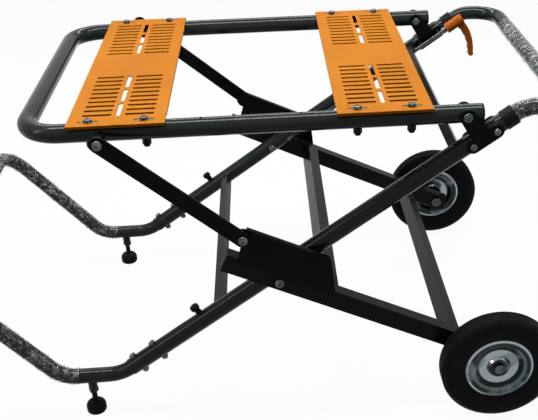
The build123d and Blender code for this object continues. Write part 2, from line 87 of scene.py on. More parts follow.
# %% Camera from the solved view
IMAGE_W, IMAGE_H = 538, 420
FOCAL_PX = 931.99
CENTRE_PX = (330.06, 211.66)
CAMERA_AT = (0.06465, -2.02484, 1.39168)
view_right = Vector((0.99682326, -0.07636042, -0.02263805))
view_up = Vector((0.05603946, 0.47047453, 0.88063233))
view_back = Vector((-0.05659483, -0.87910341, 0.47325915))
camera_data = bpy.data.cameras.new("studio_camera")
camera_data.sensor_fit = "HORIZONTAL"
camera_data.sensor_width = 36.0
camera_data.lens = FOCAL_PX / IMAGE_W * camera_data.sensor_width
camera_data.shift_x = -(CENTRE_PX[0] - IMAGE_W / 2) / IMAGE_W
camera_data.shift_y = (CENTRE_PX[1] - IMAGE_H / 2) / IMAGE_W
camera_data.clip_end = 60.0
camera = bpy.data.objects.new("studio_camera", camera_data)
turn = Matrix((view_right, view_up, view_back)).transposed().to_4x4()
camera.matrix_world = Matrix.Translation(CAMERA_AT) @ turn
bpy.context.scene.collection.objects.link(camera)
bpy.context.scene.camera = camera
print("lens", round(camera_data.lens, 2), "mm, shift", round(camera_data.shift_x, 4))

# %% [markdown]
# ## Node helpers
# Each finish is a small node tree. A few helpers keep the trees readable: they add a node with
# its settings, join two sockets, start a group with named inputs and outputs, and make the noise,
# the stretched values, the calculations and the colour mixes that every finish needs.


# %% Helpers for node trees
MIX_A, MIX_B, MIX_RESULT = 6, 7, 2


def add(tree, kind, **settings):
    """A node with its settings."""
    node = tree.nodes.new(kind)
    for key, value in settings.items():
        setattr(node, key, value)
    return node


def join(tree, source, target):
    """A link from one socket to another."""
    tree.links.new(source, target)


def start_group(name, inputs, outputs):
    """A shader group: inputs as (label, kind, value), outputs as (label, kind)."""
    tree = bpy.data.node_groups.new(name, "ShaderNodeTree")
    for label, kind, value in inputs:
        socket = tree.interface.new_socket(label, in_out="INPUT", socket_type="NodeSocket" + kind)
        socket.default_value = value
    for label, kind in outputs:
        tree.interface.new_socket(label, in_out="OUTPUT", socket_type="NodeSocket" + kind)
    return tree, tree.nodes.new("NodeGroupInput"), tree.nodes.new("NodeGroupOutput")


def noise_at(tree, scale, detail, rough=0.5):
    """Noise in metres over the piece itself, so it stays on the piece when it moves."""
    where = add(tree, "ShaderNodeTexCoord")
    cloud = add(tree, "ShaderNodeTexNoise")
    cloud.inputs["Scale"].default_value = scale
    cloud.inputs["Detail"].default_value = detail
    cloud.inputs["Roughness"].default_value = rough
    join(tree, where.outputs["Object"], cloud.inputs["Vector"])
    return cloud


def remap(tree, source, span, new_span):
    """Stretch a value from one span to another, kept inside the new span."""
    node = add(tree, "ShaderNodeMapRange", clamp=True)
    for label, value in zip(("From Min", "From Max", "To Min", "To Max"), span + new_span):
        node.inputs[label].default_value = value
    join(tree, source, node.inputs["Value"])
    return node.outputs["Result"]


def math_node(tree, operation, a, b):
    """A calculation with two values, each a socket or a number."""
    node = add(tree, "ShaderNodeMath", operation=operation)
    for slot, value in enumerate((a, b)):
        if isinstance(value, (int, float)):
            node.inputs[slot].default_value = value
        else:
            join(tree, value, node.inputs[slot])
    return node.outputs["Value"]


def blend_colour(tree, factor, a, b):
    """Mix two colours, each a socket or a colour, by the Mix node's colour sockets."""
    node = add(tree, "ShaderNodeMix", data_type="RGBA")
    join(tree, factor, node.inputs["Factor"])
    for label, value in ((MIX_A, a), (MIX_B, b)):
        if isinstance(value, tuple):
            node.inputs[label].default_value = value
        else:
            join(tree, value, node.inputs[label])
    return node.outputs[MIX_RESULT]


print("node helpers ready")

# %% [markdown]
# ## Paint skin
# Sprayed paint and powder coat are never quite flat: the film has a fine orange-peel ripple, and
# its tone drifts a little along a tube. An image could carry this, but noise measured in metres
# has no seams and fits every piece. The group gives colour, roughness and ripple height.

# %% Group: paint skin
paint_skin, enter, leave = start_group(
    "paint_skin",
    [("Colour", "Color", (0.5, 0.5, 0.5, 1)), ("Shade", "Color", (0.3, 0.3, 0.3, 1)),
     ("Drift", "Float", 0.3), ("Ripple", "Float", 420.0), ("Rough", "Float", 0.3)],
    [("Colour", "Color"), ("Roughness", "Float"), ("Height", "Float")])
drift = noise_at(paint_skin, scale=6.0, detail=3.0)
drifted = remap(paint_skin, drift.outputs["Fac"], (0.35, 0.68), (0, 1))
drift_mask = math_node(paint_skin, "MULTIPLY", drifted, enter.outputs["Drift"])
drift_tone = blend_colour(paint_skin, drift_mask, enter.outputs["Colour"], enter.outputs["Shade"])
join(paint_skin, drift_tone, leave.inputs["Colour"])
smudge = noise_at(paint_skin, scale=28.0, detail=4.0, rough=0.6)
uneven = remap(paint_skin, smudge.outputs["Fac"], (0.3, 0.7), (-0.05, 0.08))
join(paint_skin, math_node(paint_skin, "ADD", enter.outputs["Rough"], uneven),
     leave.inputs["Roughness"])
ripple = noise_at(paint_skin, scale=420.0, detail=1.0)
join(paint_skin, enter.outputs["Ripple"], ripple.inputs["Scale"])
join(paint_skin, ripple.outputs["Fac"], leave.inputs["Height"])
print("group", paint_skin.name, "has", len(paint_skin.nodes), "nodes")

# %% [markdown]
# ## Rubbed edges and painted edge highlights
# Where painted plates are handled, their edges rub pale first. On the plated bolts, rods and rims
# the same edge mask carries a painted highlight: a bright colour on the edges that stands in for
# glints. The Bevel node looks a little way around each point: where its normal leaves the surface's
# own normal, there is an edge. Noise breaks the line up, because wear is never even, and it breaks
# up the painted highlight the same way.

# %% Group: rubbed edges and painted edge highlights
edge_wear_and_glint, enter, leave = start_group(
    "edge_wear_and_glint", [("Width", "Float", 0.0008), ("Amount", "Float", 0.5)], [("Mask", "Float")])
rounded = add(edge_wear_and_glint, "ShaderNodeBevel", samples=4)
join(edge_wear_and_glint, enter.outputs["Width"], rounded.inputs["Radius"])
surface = add(edge_wear_and_glint, "ShaderNodeNewGeometry")
agree = add(edge_wear_and_glint, "ShaderNodeVectorMath", operation="DOT_PRODUCT")
join(edge_wear_and_glint, rounded.outputs["Normal"], agree.inputs[0])
join(edge_wear_and_glint, surface.outputs["Normal"], agree.inputs[1])
edge = remap(edge_wear_and_glint, agree.outputs["Value"], (0.97, 0.80), (0.0, 1.0))
patches = noise_at(edge_wear_and_glint, scale=60.0, detail=4.0, rough=0.65)
patchy = remap(edge_wear_and_glint, patches.outputs["Fac"], (0.38, 0.62), (0, 1))
broken = math_node(edge_wear_and_glint, "MULTIPLY", edge, patchy)
join(edge_wear_and_glint, math_node(edge_wear_and_glint, "MULTIPLY", broken, enter.outputs["Amount"]),
     leave.inputs["Mask"])
print("group", edge_wear_and_glint.name, "has", len(edge_wear_and_glint.nodes), "nodes")

# %% [markdown]
# ## Dust and moulded grain
# Fine dust settles on what faces up, so its mask is the upward part of the normal, broken by
# noise. Moulded rubber and plastic carry the grain of their mould, a field of tiny rounded cells.

# %% Groups: settled dust and moulded grain
settled_dust, enter, leave = start_group(
    "settled_dust", [("Amount", "Float", 0.1)], [("Mask", "Float")])
surface = add(settled_dust, "ShaderNodeNewGeometry")
split = add(settled_dust, "ShaderNodeSeparateXYZ")
join(settled_dust, surface.outputs["Normal"], split.inputs["Vector"])
upward = remap(settled_dust, split.outputs["Z"], (-0.2, 0.9), (0.15, 1.0))
specks = noise_at(settled_dust, scale=130.0, detail=5.0, rough=0.7)
speckled = math_node(settled_dust, "MULTIPLY", upward,
                     remap(settled_dust, specks.outputs["Fac"], (0.42, 0.72), (0, 1)))
join(settled_dust, math_node(settled_dust, "MULTIPLY", speckled, enter.outputs["Amount"]),
     leave.inputs["Mask"])

moulded_grain, enter, leave = start_group(
    "moulded_grain", [("Size", "Float", 900.0), ("Rough", "Float", 0.5)],
    [("Height", "Float"), ("Roughness", "Float")])
where = add(moulded_grain, "ShaderNodeTexCoord")
cells = add(moulded_grain, "ShaderNodeTexVoronoi", feature="SMOOTH_F1")
join(moulded_grain, where.outputs["Object"], cells.inputs["Vector"])
join(moulded_grain, enter.outputs["Size"], cells.inputs["Scale"])
join(moulded_grain, cells.outputs["Distance"], leave.inputs["Height"])
sheen = noise_at(moulded_grain, scale=45.0, detail=3.0)
join(moulded_grain, math_node(moulded_grain, "ADD", enter.outputs["Rough"],
                              remap(moulded_grain, sheen.outputs["Fac"], (0.3, 0.7), (-0.06, 0.1))),
     leave.inputs["Roughness"])
print("groups", settled_dust.name, "and", moulded_grain.name, "made")

# %% [markdown]
# ## Zinc plating
# Bolts, rods and rims are plated. The plating has a cold blue tone with warmer clouds in it, and
# the fine marks of pressing and turning show through in the roughness and in a faint relief.

# %% Group: zinc plating
zinc_skin, enter, leave = start_group(
    "zinc_skin",
    [("Cold", "Color", (0.13, 0.165, 0.185, 1)), ("Warm", "Color", (0.27, 0.28, 0.27, 1))],
    [("Colour", "Color"), ("Roughness", "Float"), ("Height", "Float")])
clouds = noise_at(zinc_skin, scale=34.0, detail=4.0, rough=0.6)
warm_part = remap(zinc_skin, clouds.outputs["Fac"], (0.4, 0.66), (0, 0.7))
join(zinc_skin, blend_colour(zinc_skin, warm_part, enter.outputs["Cold"], enter.outputs["Warm"]),
     leave.inputs["Colour"])
marks = noise_at(zinc_skin, scale=260.0, detail=5.0, rough=0.7)
join(zinc_skin, remap(zinc_skin, marks.outputs["Fac"], (0.3, 0.7), (0.13, 0.27)),
     leave.inputs["Roughness"])
join(zinc_skin, marks.outputs["Fac"], leave.inputs["Height"])
print("group", zinc_skin.name, "has", len(zinc_skin.nodes), "nodes")

# %% [markdown]
# ## Finishes
# Every material has its own Principled shader. What is the same all over, such as the shine, is
# set on the shader itself; what changes over the surface comes from the groups. A Bevel node
# gives all sharp sheet edges the small radius that catches the light on a real piece.

# %% Helpers for finishes
EDGE_R = 0.9 * MM
PAINT_DRIFT = 0.55
PAINT_RUB = 0.28
RIPPLE_STRENGTH = 0.22


def new_finish(name, **plain):
    """A material with one Principled shader and plain values on its sockets."""
    finish = bpy.data.materials.new(name)
    finish.use_nodes = True
    tree = finish.node_tree
    shader = tree.nodes["Principled BSDF"]
    for label, value in plain.items():
        shader.inputs[label.replace("_", " ")].default_value = value
    return finish, tree, shader


def place(tree, group, **values):
    """A shared group inside a material, with its own values."""
    node = add(tree, "ShaderNodeGroup", node_tree=group)
    for label, value in values.items():
        node.inputs[label].default_value = value
    return node


def relief(tree, shader, height, depth, strength, edge_radius):
    """Fine relief on top of softly rounded edges."""
    soft = add(tree, "ShaderNodeBevel", samples=4)
    soft.inputs["Radius"].default_value = edge_radius
    bump = add(tree, "ShaderNodeBump")
    bump.inputs["Distance"].default_value = depth
    bump.inputs["Strength"].default_value = strength
    join(tree, height, bump.inputs["Height"])
    join(tree, soft.outputs["Normal"], bump.inputs["Normal"])
    join(tree, bump.outputs["Normal"], shader.inputs["Normal"])


def painted(name, colour, shade, rub_colour, rough, ripple, depth, shine):
    """A painted metal finish."""
    finish, tree, shader = new_finish(name, Specular_IOR_Level=shine, IOR=1.5)
    skin = place(tree, paint_skin, Colour=colour, Shade=shade, Drift=PAINT_DRIFT,
                 Ripple=ripple, Rough=rough)
    wear_and_glint_edges = place(tree, edge_wear_and_glint, Width=EDGE_R, Amount=PAINT_RUB)
    tone = blend_colour(tree, wear_and_glint_edges.outputs["Mask"], skin.outputs["Colour"], rub_colour)
    join(tree, tone, shader.inputs["Base Color"])
    join(tree, skin.outputs["Roughness"], shader.inputs["Roughness"])
    relief(tree, shader, skin.outputs["Height"], depth, RIPPLE_STRENGTH, EDGE_R)
    return finish


print("finish helpers ready")

# %% [markdown]
# The frame is a dark grey-green satin paint. The flat-sided bars and wheel legs carry the same
# paint, a little duller, because a flat face would mirror the white room all at once; their colour
# is also written a little darker, a painted shade for those flat faces. The straps, fold brackets
# and pivot plates are a plain black, and the saw plates are a bright orange powder coat with a
# coarser ripple.

# %% Paints
frame_paint = painted("frame_paint", (0.0105, 0.0140, 0.0134, 1), (0.0070, 0.0095, 0.0090, 1),
                      (0.045, 0.05, 0.049, 1), rough=0.14, ripple=420.0, depth=0.00004, shine=0.11)
# Painted shade: the bars' colour is a darker copy of the frame paint's colour.
bar_paint = painted("bar_paint", (0.0075, 0.0100, 0.0096, 1), (0.0055, 0.0075, 0.0071, 1),
                    (0.045, 0.05, 0.049, 1), rough=0.20, ripple=420.0, depth=0.00004, shine=0.045)
black_paint = painted("black_paint", (0.0019, 0.0021, 0.0021, 1), (0.0013, 0.0015, 0.0015, 1),
                      (0.015, 0.015, 0.015, 1), rough=0.22, ripple=380.0, depth=0.00005,
                      shine=0.045)
orange_paint = painted("orange_paint", (0.30, 0.098, 0.0008, 1), (0.235, 0.071, 0.0005, 1),
                       (0.38, 0.16, 0.02, 1), rough=0.40, ripple=300.0, depth=0.00012, shine=0.025)
print("paints:", frame_paint.name, bar_paint.name, black_paint.name, orange_paint.name)

# %% [markdown]
# Plastics and rubber are coloured right through. The lever is a glossy orange moulding; caps,
# collars and plugs are black and finely grained; feet and rests are dull rubber with a little
# dust.

# %% Plastics and rubber
MOULDED_SHINE = 0.07
GRAIN_STRENGTH = 0.35


def moulded(name, colour, dust_colour, rough, grain, depth, dust, edge_radius):
    """A moulded plastic or rubber finish."""
    finish, tree, shader = new_finish(name, Specular_IOR_Level=MOULDED_SHINE, IOR=1.48)
    skin = place(tree, moulded_grain, Size=grain, Rough=rough)
    dusty = place(tree, settled_dust, Amount=dust)
    tone = blend_colour(tree, dusty.outputs["Mask"], colour, dust_colour)
    join(tree, tone, shader.inputs["Base Color"])
    join(tree, skin.outputs["Roughness"], shader.inputs["Roughness"])
    relief(tree, shader, skin.outputs["Height"], depth, GRAIN_STRENGTH, edge_radius)
    return finish


orange_plastic = moulded("orange_plastic", (0.26, 0.055, 0.001, 1), (0.30, 0.09, 0.01, 1),
                         rough=0.24, grain=1400.0, depth=0.00005, dust=0.15, edge_radius=0.0022)
black_plastic = moulded("black_plastic", (0.0025, 0.0025, 0.0028, 1), (0.03, 0.03, 0.03, 1),
                        rough=0.46, grain=1100.0, depth=0.0001, dust=0.10, edge_radius=0.0012)
rubber = moulded("rubber", (0.0028, 0.0028, 0.0028, 1), (0.035, 0.034, 0.032, 1),
                 rough=0.62, grain=800.0, depth=0.00015, dust=0.16, edge_radius=0.0015)
print("mouldings:", orange_plastic.name, black_plastic.name, rubber.name)

# %% [markdown]
# The tyre is rubber too, but its sidewall is turned in fine rings and its tread grooves hold
# brown dust. Both depend only on the distance from the axle. A group works it out from the place
# on the piece, so the rings turn with the wheel, and the rims use it again.

# %% Group: distance from the axle
axle_distance, enter, leave = start_group("axle_distance", [], [("Radius", "Float")])
where = add(axle_distance, "ShaderNodeTexCoord")
split = add(axle_distance, "ShaderNodeSeparateXYZ")
join(axle_distance, where.outputs["Object"], split.inputs["Vector"])
from_axle_x = math_node(axle_distance, "SUBTRACT", split.outputs["X"], AXLE[0] + SHIFT_X)
from_axle_z = math_node(axle_distance, "SUBTRACT", split.outputs["Z"], AXLE[1])
square_x = math_node(axle_distance, "MULTIPLY", from_axle_x, from_axle_x)
square_z = math_node(axle_distance, "MULTIPLY", from_axle_z, from_axle_z)
squares = math_node(axle_distance, "ADD", square_x, square_z)
join(axle_distance, math_node(axle_distance, "POWER", squares, 0.5), leave.inputs["Radius"])
print("group", axle_distance.name, "made")

# %% Tyre rubber
RING_PITCH = 4.2 * MM
RING_RISE = 0.5
GROOVE_R = 125.0 * MM
GROOVE_FADE = (0.0004, 0.0011)
GROOVE_COVER = 0.75
CLEAN_RUBBER = (0.0027, 0.0026, 0.0026, 1)
GROOVE_DUST = (0.014, 0.011, 0.009, 1)
PALE_DUST = (0.05, 0.047, 0.045, 1)
tyre_rubber, tree, shader = new_finish("tyre", Specular_IOR_Level=0.05, IOR=1.5)
radius = place(tree, axle_distance).outputs["Radius"]
rings = math_node(tree, "SINE", math_node(tree, "MULTIPLY", radius, 2 * math.pi / RING_PITCH), 0.0)
groove = math_node(tree, "ABSOLUTE", math_node(tree, "SUBTRACT", radius, GROOVE_R), 0.0)
groove_mask = remap(tree, groove, GROOVE_FADE, (GROOVE_COVER, 0.0))
skin = place(tree, moulded_grain, Size=520.0, Rough=0.62)
dusty = place(tree, settled_dust, Amount=0.06)
clean = blend_colour(tree, groove_mask, CLEAN_RUBBER, GROOVE_DUST)
join(tree, blend_colour(tree, dusty.outputs["Mask"], clean, PALE_DUST), shader.inputs["Base Color"])
join(tree, skin.outputs["Roughness"], shader.inputs["Roughness"])
ring_height = math_node(tree, "ADD", math_node(tree, "MULTIPLY", rings, RING_RISE),
                        skin.outputs["Height"])
relief(tree, shader, ring_height, depth=0.0003, strength=0.5, edge_radius=0.0012)
print("tyre finish has", len(tree.nodes), "nodes")

# %% [markdown]
# Zinc is a metal, so its colour is the colour of its reflection. In an all-white studio plain metal
# looks flat, so shade is painted into the recesses by ambient occlusion, and a highlight is painted
# on the edges. The rims are drawn from sheet: a colour ramp over the distance from the axle paints
# their reflections into the colour, with the pale flat middle, the dark wall of the bowl and the
# bright lip, and noise lets streaks of plain plating through.

# %% Zinc steel and rims
PAINTED_EDGE_HIGHLIGHT = (0.48, 0.51, 0.53, 1)
PAINTED_RECESS_SHADE = (0.020, 0.023, 0.026, 1)
RECESS_REACH = 30.0 * MM
RIM_TINT = (0.86, 1.0, 1.05)


def plated(name, cold, warm):
    """A plated metal finish, with a painted highlight on its edges and painted shade in its
    recesses.
    """
    finish, tree, shader = new_finish(name, Metallic=1.0)
    skin = place(tree, zinc_skin, Cold=cold, Warm=warm)
    # Painted highlight: a bright colour on the edges stands in for the glints of plated edges.
    wear_and_glint_edges = place(tree, edge_wear_and_glint, Width=0.0011, Amount=0.85)
    tone = blend_colour(tree, wear_and_glint_edges.outputs["Mask"], skin.outputs["Colour"], PAINTED_EDGE_HIGHLIGHT)
    # Painted shade: ambient occlusion darkens the colour in the recesses.
    recess_occlusion = add(tree, "ShaderNodeAmbientOcclusion", samples=6)
    recess_occlusion.inputs["Distance"].default_value = RECESS_REACH
    unshaded_share = remap(tree, recess_occlusion.outputs["AO"], (0.35, 0.95), (0.0, 1.0))
    tone = blend_colour(tree, unshaded_share, PAINTED_RECESS_SHADE, tone)
    join(tree, tone, shader.inputs["Base Color"])
    join(tree, skin.outputs["Roughness"], shader.inputs["Roughness"])
    relief(tree, shader, skin.outputs["Height"], depth=0.0001, strength=0.2, edge_radius=0.0006)
    return finish, tree, shader, tone


zinc_steel = plated("zinc_steel", (0.040, 0.048, 0.054, 1), (0.12, 0.126, 0.124, 1))[0]
rim_steel, tree, shader, tone = plated("rim_steel", (0.075, 0.105, 0.120, 1),
                                       (0.19, 0.225, 0.235, 1))
radius = place(tree, axle_distance).outputs["Radius"]
# Painted reflection and shade: pale and dark rings by radius stand in for what the bowl and the lip
# mirror.
reflection_ramp = add(tree, "ShaderNodeValToRGB")
join(tree, remap(tree, radius, (0.0, RIM_R), (0.0, 1.0)), reflection_ramp.inputs["Fac"])
painted_rim_reflections = [(0.18, 0.010), (0.29, 0.012), (0.31, 0.30), (0.56, 0.30), (0.60, 0.004), (0.71, 0.008),
             (0.76, 0.11), (0.82, 0.020), (0.86, 0.005), (0.92, 0.05), (0.945, 0.42), (1.0, 0.16)]
while len(reflection_ramp.color_ramp.elements) < len(painted_rim_reflections):
    reflection_ramp.color_ramp.elements.new(0.5)
for stop, (share, reflected_tone) in zip(reflection_ramp.color_ramp.elements, painted_rim_reflections):
    stop.position = share
    stop.color = tuple(reflected_tone * part for part in RIM_TINT) + (1,)
streaks = noise_at(tree, scale=22.0, detail=1.0)
streak_mask = remap(tree, streaks.outputs["Fac"], (0.52, 0.62), (0.05, 0.65))
tone = blend_colour(tree, streak_mask, reflection_ramp.outputs["Color"], tone)
join(tree, tone, shader.inputs["Base Color"])
print("zinc and rim finishes made")

# %% [markdown]
# ## Dress the measured pieces
# The finish goes into the material slots of each piece. Names say what a piece is, so the table
# lists the start of each name, and the longest start that fits wins. The two film sleeves stay
# bare, because creased sleeves take their place below.

# %% Finish of each piece
finish_of = [
    (frame_paint, ("leg_tube", "toe_loop", "handle_loop", "top_frame_tube", "foot_socket",
                   "release_barrel")),
    (bar_paint, ("lower_cross_bar", "upper_cross_bar", "mid_cross_bar", "rear_cross_bar",
                 "wheel_leg")),
    (black_paint, ("fold_bracket", "strap_spacer", "pivot_plate", "strap_near", "strap_far")),
    (orange_paint, ("left_plate", "right_plate")),
    (orange_plastic, ("release_lever",)),
    (black_plastic, ("handle_collar", "rail_caps", "leg_plugs", "plate_nuts")),
    (rubber, ("rest_bumper", "foot_near", "foot_far")),
    (tyre_rubber, ("tyre",)),
    (zinc_steel, ("pivot_bolt", "bracket_bolts", "leg_pivot_bolt", "toe_bolts", "strap_bolt",
                  "strap_stud", "left_plate_screws", "right_plate_screws", "axle_bolt",
                  "release_rod")),
    (rim_steel, ("rim",)),
]
dressed = 0
for name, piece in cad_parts.items():
    best = None
    for finish, starts in finish_of:
        for start in starts:
            if name.startswith(start) and (best is None or len(start) > best[0]):
                best = (len(start), finish)
    if best:
        piece.data.materials.clear()
        piece.data.materials.append(best[1])
        dressed += 1
print("dressed", dressed, "of", len(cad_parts), "pieces")

# %% [markdown]
# ## Building meshes
# Most new pieces are swept tubes. A line of straight runs and round bends is cut into even steps,
# each step gets its own ring, and a frame carried along the line keeps the rings from twisting.

# %% Helpers for swept pieces
BEND_STEPS = 24
ASIDE = (0.31, 0.17, 0.93)


def bent_line(corners, bends, step):
    """Even points along straight runs that are joined by round bends."""
    corners = [np.array(c, float) for c in corners]
    line = [corners[0]]
    for before, corner, after, bend in zip(corners, corners[1:], corners[2:], bends):
        a = (before - corner) / np.linalg.norm(before - corner)
        b = (after - corner) / np.linalg.norm(after - corner)
        half = math.acos(float(a @ b)) / 2
        middle = corner + (a + b) / np.linalg.norm(a + b) * bend / math.sin(half)
        sweep = math.pi - 2 * half
        out = corner + a * bend / math.tan(half) - middle
        side = a * -1.0
        for k in range(BEND_STEPS + 1):
            angle = sweep * k / BEND_STEPS
            line.append(middle + out * math.cos(angle) + side * bend * math.sin(angle))
    line.append(corners[-1])
    line = np.array(line)
    along = np.concatenate(([0], np.cumsum(np.linalg.norm(np.diff(line, axis=0), axis=1))))
    even = np.linspace(0, along[-1], int(along[-1] / step) + 1)
    return even, np.stack([np.interp(even, along, line[:, k]) for k in range(3)], axis=1)


def carried_frames(points, closed):
    """Two directions square to the line at each point, carried along it without twist."""
    if closed:
        heading = np.roll(points, -1, axis=0) - np.roll(points, 1, axis=0)
    else:
        heading = np.gradient(points, axis=0)
    heading = heading / np.linalg.norm(heading, axis=1)[:, None]
    first = np.cross(heading[0], ASIDE)
    frames = []
    for h in heading:
        first = first - h * (first @ h)
        first = first / np.linalg.norm(first)
        frames.append((first, np.cross(h, first)))
    return frames


def merged(shapes):
    """Several shapes, each as vertices and faces, as one."""
    verts, faces = [], []
    for shape_verts, shape_faces in shapes:
        faces += [tuple(i + len(verts) for i in face) for face in shape_faces]
        verts += shape_verts
    return verts, faces


def mesh_piece(name, verts, faces, finish, body, smooth):
    """A mesh object that rides on one body of the stand."""
    mesh = bpy.data.meshes.new(name)
    mesh.from_pydata([tuple(v) for v in verts], [], faces)
    mesh.polygons.foreach_set("use_smooth", [smooth] * len(mesh.polygons))
    mesh.update()
    piece = bpy.data.objects.new(name, mesh)
    bpy.context.scene.collection.objects.link(piece)
    piece.data.materials.append(finish)
    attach(piece, body)
    return piece


print("sweep helpers ready")

# %% [markdown]
# ## Weld beads
# The square cross bars, the foot sockets and the pin barrel are welded to the tubes. A weld bead
# is a row of small overlapping ripples, so its ring grows and shrinks every four to five
# millimetres. The beads follow the line where the two shapes meet: on a round tube that line is a
# saddle.

# %% Bead helpers
BEAD_SIDES = 8
RINGS_PER_RIPPLE = 3.0
RIPPLE_SHARE = 0.22
UNEVEN_SHARE = 0.15
UNEVEN_SCALE = 300
BEAD_END = 0.5
SADDLE_STEPS = 13


def bead(points, size, closed):
    """Vertices and faces of one rippled bead along a line."""
    points = np.array(points)
    frames = carried_frames(points, closed)
    verts, faces = [], []
    count = len(points)
    for k, (point, (p, q)) in enumerate(zip(points, frames)):
        swell = RIPPLE_SHARE * math.sin(k * 2 * math.pi / RINGS_PER_RIPPLE)
        uneven = UNEVEN_SHARE * noise.noise(Vector(point) * UNEVEN_SCALE)
        fat = size * (1.0 + swell + uneven)
        if not closed and k in (0, count - 1):
            fat *= BEAD_END
        for j in range(BEAD_SIDES):
            angle = 2 * math.pi * j / BEAD_SIDES
            verts.append(point + fat * (p * math.cos(angle) + q * math.sin(angle)))
    for k in range(count if closed else count - 1):
        for j in range(BEAD_SIDES):
            a, b = k * BEAD_SIDES, ((k + 1) % count) * BEAD_SIDES
            j2 = (j + 1) % BEAD_SIDES
            faces.append((a + j, a + j2, b + j2, b + j))
    if not closed:
        faces.append(tuple(range(BEAD_SIDES))[::-1])
        faces.append(tuple((count - 1) * BEAD_SIDES + j for j in range(BEAD_SIDES)))
    return verts, faces


def bead_set(name, lines, body):
    """Several beads as one painted piece."""
    verts, faces = merged([bead(points, size, closed) for points, size, closed in lines])
    mesh_piece(name, verts, faces, frame_paint, body, True)
    print(name, "has", len(lines), "beads and", len(verts), "points")


def saddle(s_mid, half_s, half_n, side):
    """The line where a bar across the stand meets a leg tube."""
    run = np.linspace(-1, 1, SADDLE_STEPS + 1)[:-1]
    square = [(half_s * t, -half_n) for t in run] + [(half_s, half_n * t) for t in run]
    square += [(-half_s * t, half_n) for t in run] + [(-half_s, -half_n * t) for t in run]
    line = []
    for s, n in square:
        x, z = on_leg(s_mid + s, n)
        line.append((x, side * (SIDE_Y - math.sqrt(TUBE_R ** 2 - n * n)), z))
    return line


# %% Beads of the leg frame
LOWER_BAR_S, UPPER_BAR_S, BAR_HALF = -160.0 * MM, 450.5 * MM, 10 * MM
BARREL_S, BARREL_HALF_S, BARREL_HALF_N = 95.0 * MM, 12 * MM, 6 * MM
BAR_BEAD, THIN_BEAD = 1.7 * MM, 1.6 * MM
FOOT_X, FLOOR_RUN_Z, SOCKET_R = -396.0 * MM + SHIFT_X, 98.0 * MM, 10.0 * MM
SOCKET_STEPS = 40
leg_beads = []
for bar_s in (LOWER_BAR_S, UPPER_BAR_S):
    for side in (-1, 1):
        leg_beads.append((saddle(bar_s, BAR_HALF, BAR_HALF, side), BAR_BEAD, True))
leg_beads.append((saddle(BARREL_S, BARREL_HALF_S, BARREL_HALF_N, 1), THIN_BEAD, True))
for side in (-1, 1):
    ring = []
    for k in range(SOCKET_STEPS):
        turn_at = 2 * math.pi * k / SOCKET_STEPS
        dx, dy = SOCKET_R * math.cos(turn_at), SOCKET_R * math.sin(turn_at)
        below = math.sqrt(LOOP_R ** 2 - dy * dy)
        ring.append((FOOT_X + dx, side * SIDE_Y + dy, FLOOR_RUN_Z - below))
    leg_beads.append((ring, THIN_BEAD, True))
bead_set("weld_beads_leg_frame", leg_beads, "leg_frame")

# %% Beads of the wheel legs, edges in millimetres of the drawing
MID_BAR_EDGES, REAR_BAR_EDGES = (386.2, 412.2), (93.7, 113.7)
LEG_INNER_Y = 351.6
EDGE_BEAD, EDGE_BEAD_HALF, EDGE_BEAD_STEPS = 1.8 * MM, 18.0, 26
wheel_leg_beads = []
for u in MID_BAR_EDGES + REAR_BAR_EDGES:
    for side in (-1, 1):
        line = []
        for v in np.linspace(-EDGE_BEAD_HALF, EDGE_BEAD_HALF, EDGE_BEAD_STEPS):
            x, z = on_wheel_leg(u * MM, v * MM)
            line.append((x, side * LEG_INNER_Y * MM, z))
        wheel_leg_beads.append((line, EDGE_BEAD, False))
bead_set("weld_beads_wheel_legs", wheel_leg_beads, "wheel_leg_frame")

# %% [markdown]
# ## Sockets of the bolts
# The round bolt heads have a hexagon socket. A socket can't be cut into the measured head, so
# each head gets a low ring on its face: round and chamfered outside, a hexagon inside. The bottom
# of the hexagon lies in shade and reads as the socket.

# %% Socket ring helpers
RING_STEPS = 36
RING_HEIGHT = 1.7 * MM
HEX_SHARE = 0.62
SINK = 0.02 * MM
CHAMFER_FROM, CHAMFER_IN = 0.55, 0.35
LIP_FROM, LIP_OUT = 0.9, 0.1


def socket_ring(x, z, face_y, flat_r):
    """Vertices and faces of one ring on a bolt head, before the shift; face_y is signed."""
    height = RING_HEIGHT
    out_way = 1 if face_y > 0 else -1
    hex_r = HEX_SHARE * flat_r
    rings = []
    for k in range(RING_STEPS):
        angle = 2 * math.pi * k / RING_STEPS
        hex_at = hex_r * math.cos(math.pi / 6) / math.cos(angle % (math.pi / 3) - math.pi / 6)
        section = [(hex_at, -SINK), (flat_r, -SINK), (flat_r, CHAMFER_FROM * height)]
        section += [(flat_r - CHAMFER_IN * height, height), (hex_at + LIP_OUT * height, height)]
        section += [(hex_at, LIP_FROM * height)]
        for r, rise in section:
            across, up = r * math.cos(angle), r * math.sin(angle)
            rings.append((x + SHIFT_X + across, face_y + out_way * rise, z + up))
    size = len(rings) // RING_STEPS
    faces = []
    for k in range(RING_STEPS):
        a, b = k * size, ((k + 1) % RING_STEPS) * size
        for j in range(size):
            quad = (a + j, a + (j + 1) % size, b + (j + 1) % size, b + j)
            faces.append(quad if out_way > 0 else quad[::-1])
    return rings, faces


def socket_set(name, heads, body):
    """The socket rings of one body; heads as x, z, face_y, flat radius in millimetres."""
    verts, faces = merged([socket_ring(*[value * MM for value in head]) for head in heads])
    mesh_piece(name, verts, faces, zinc_steel, body, False)
    print(name, "has", len(heads), "socket rings")


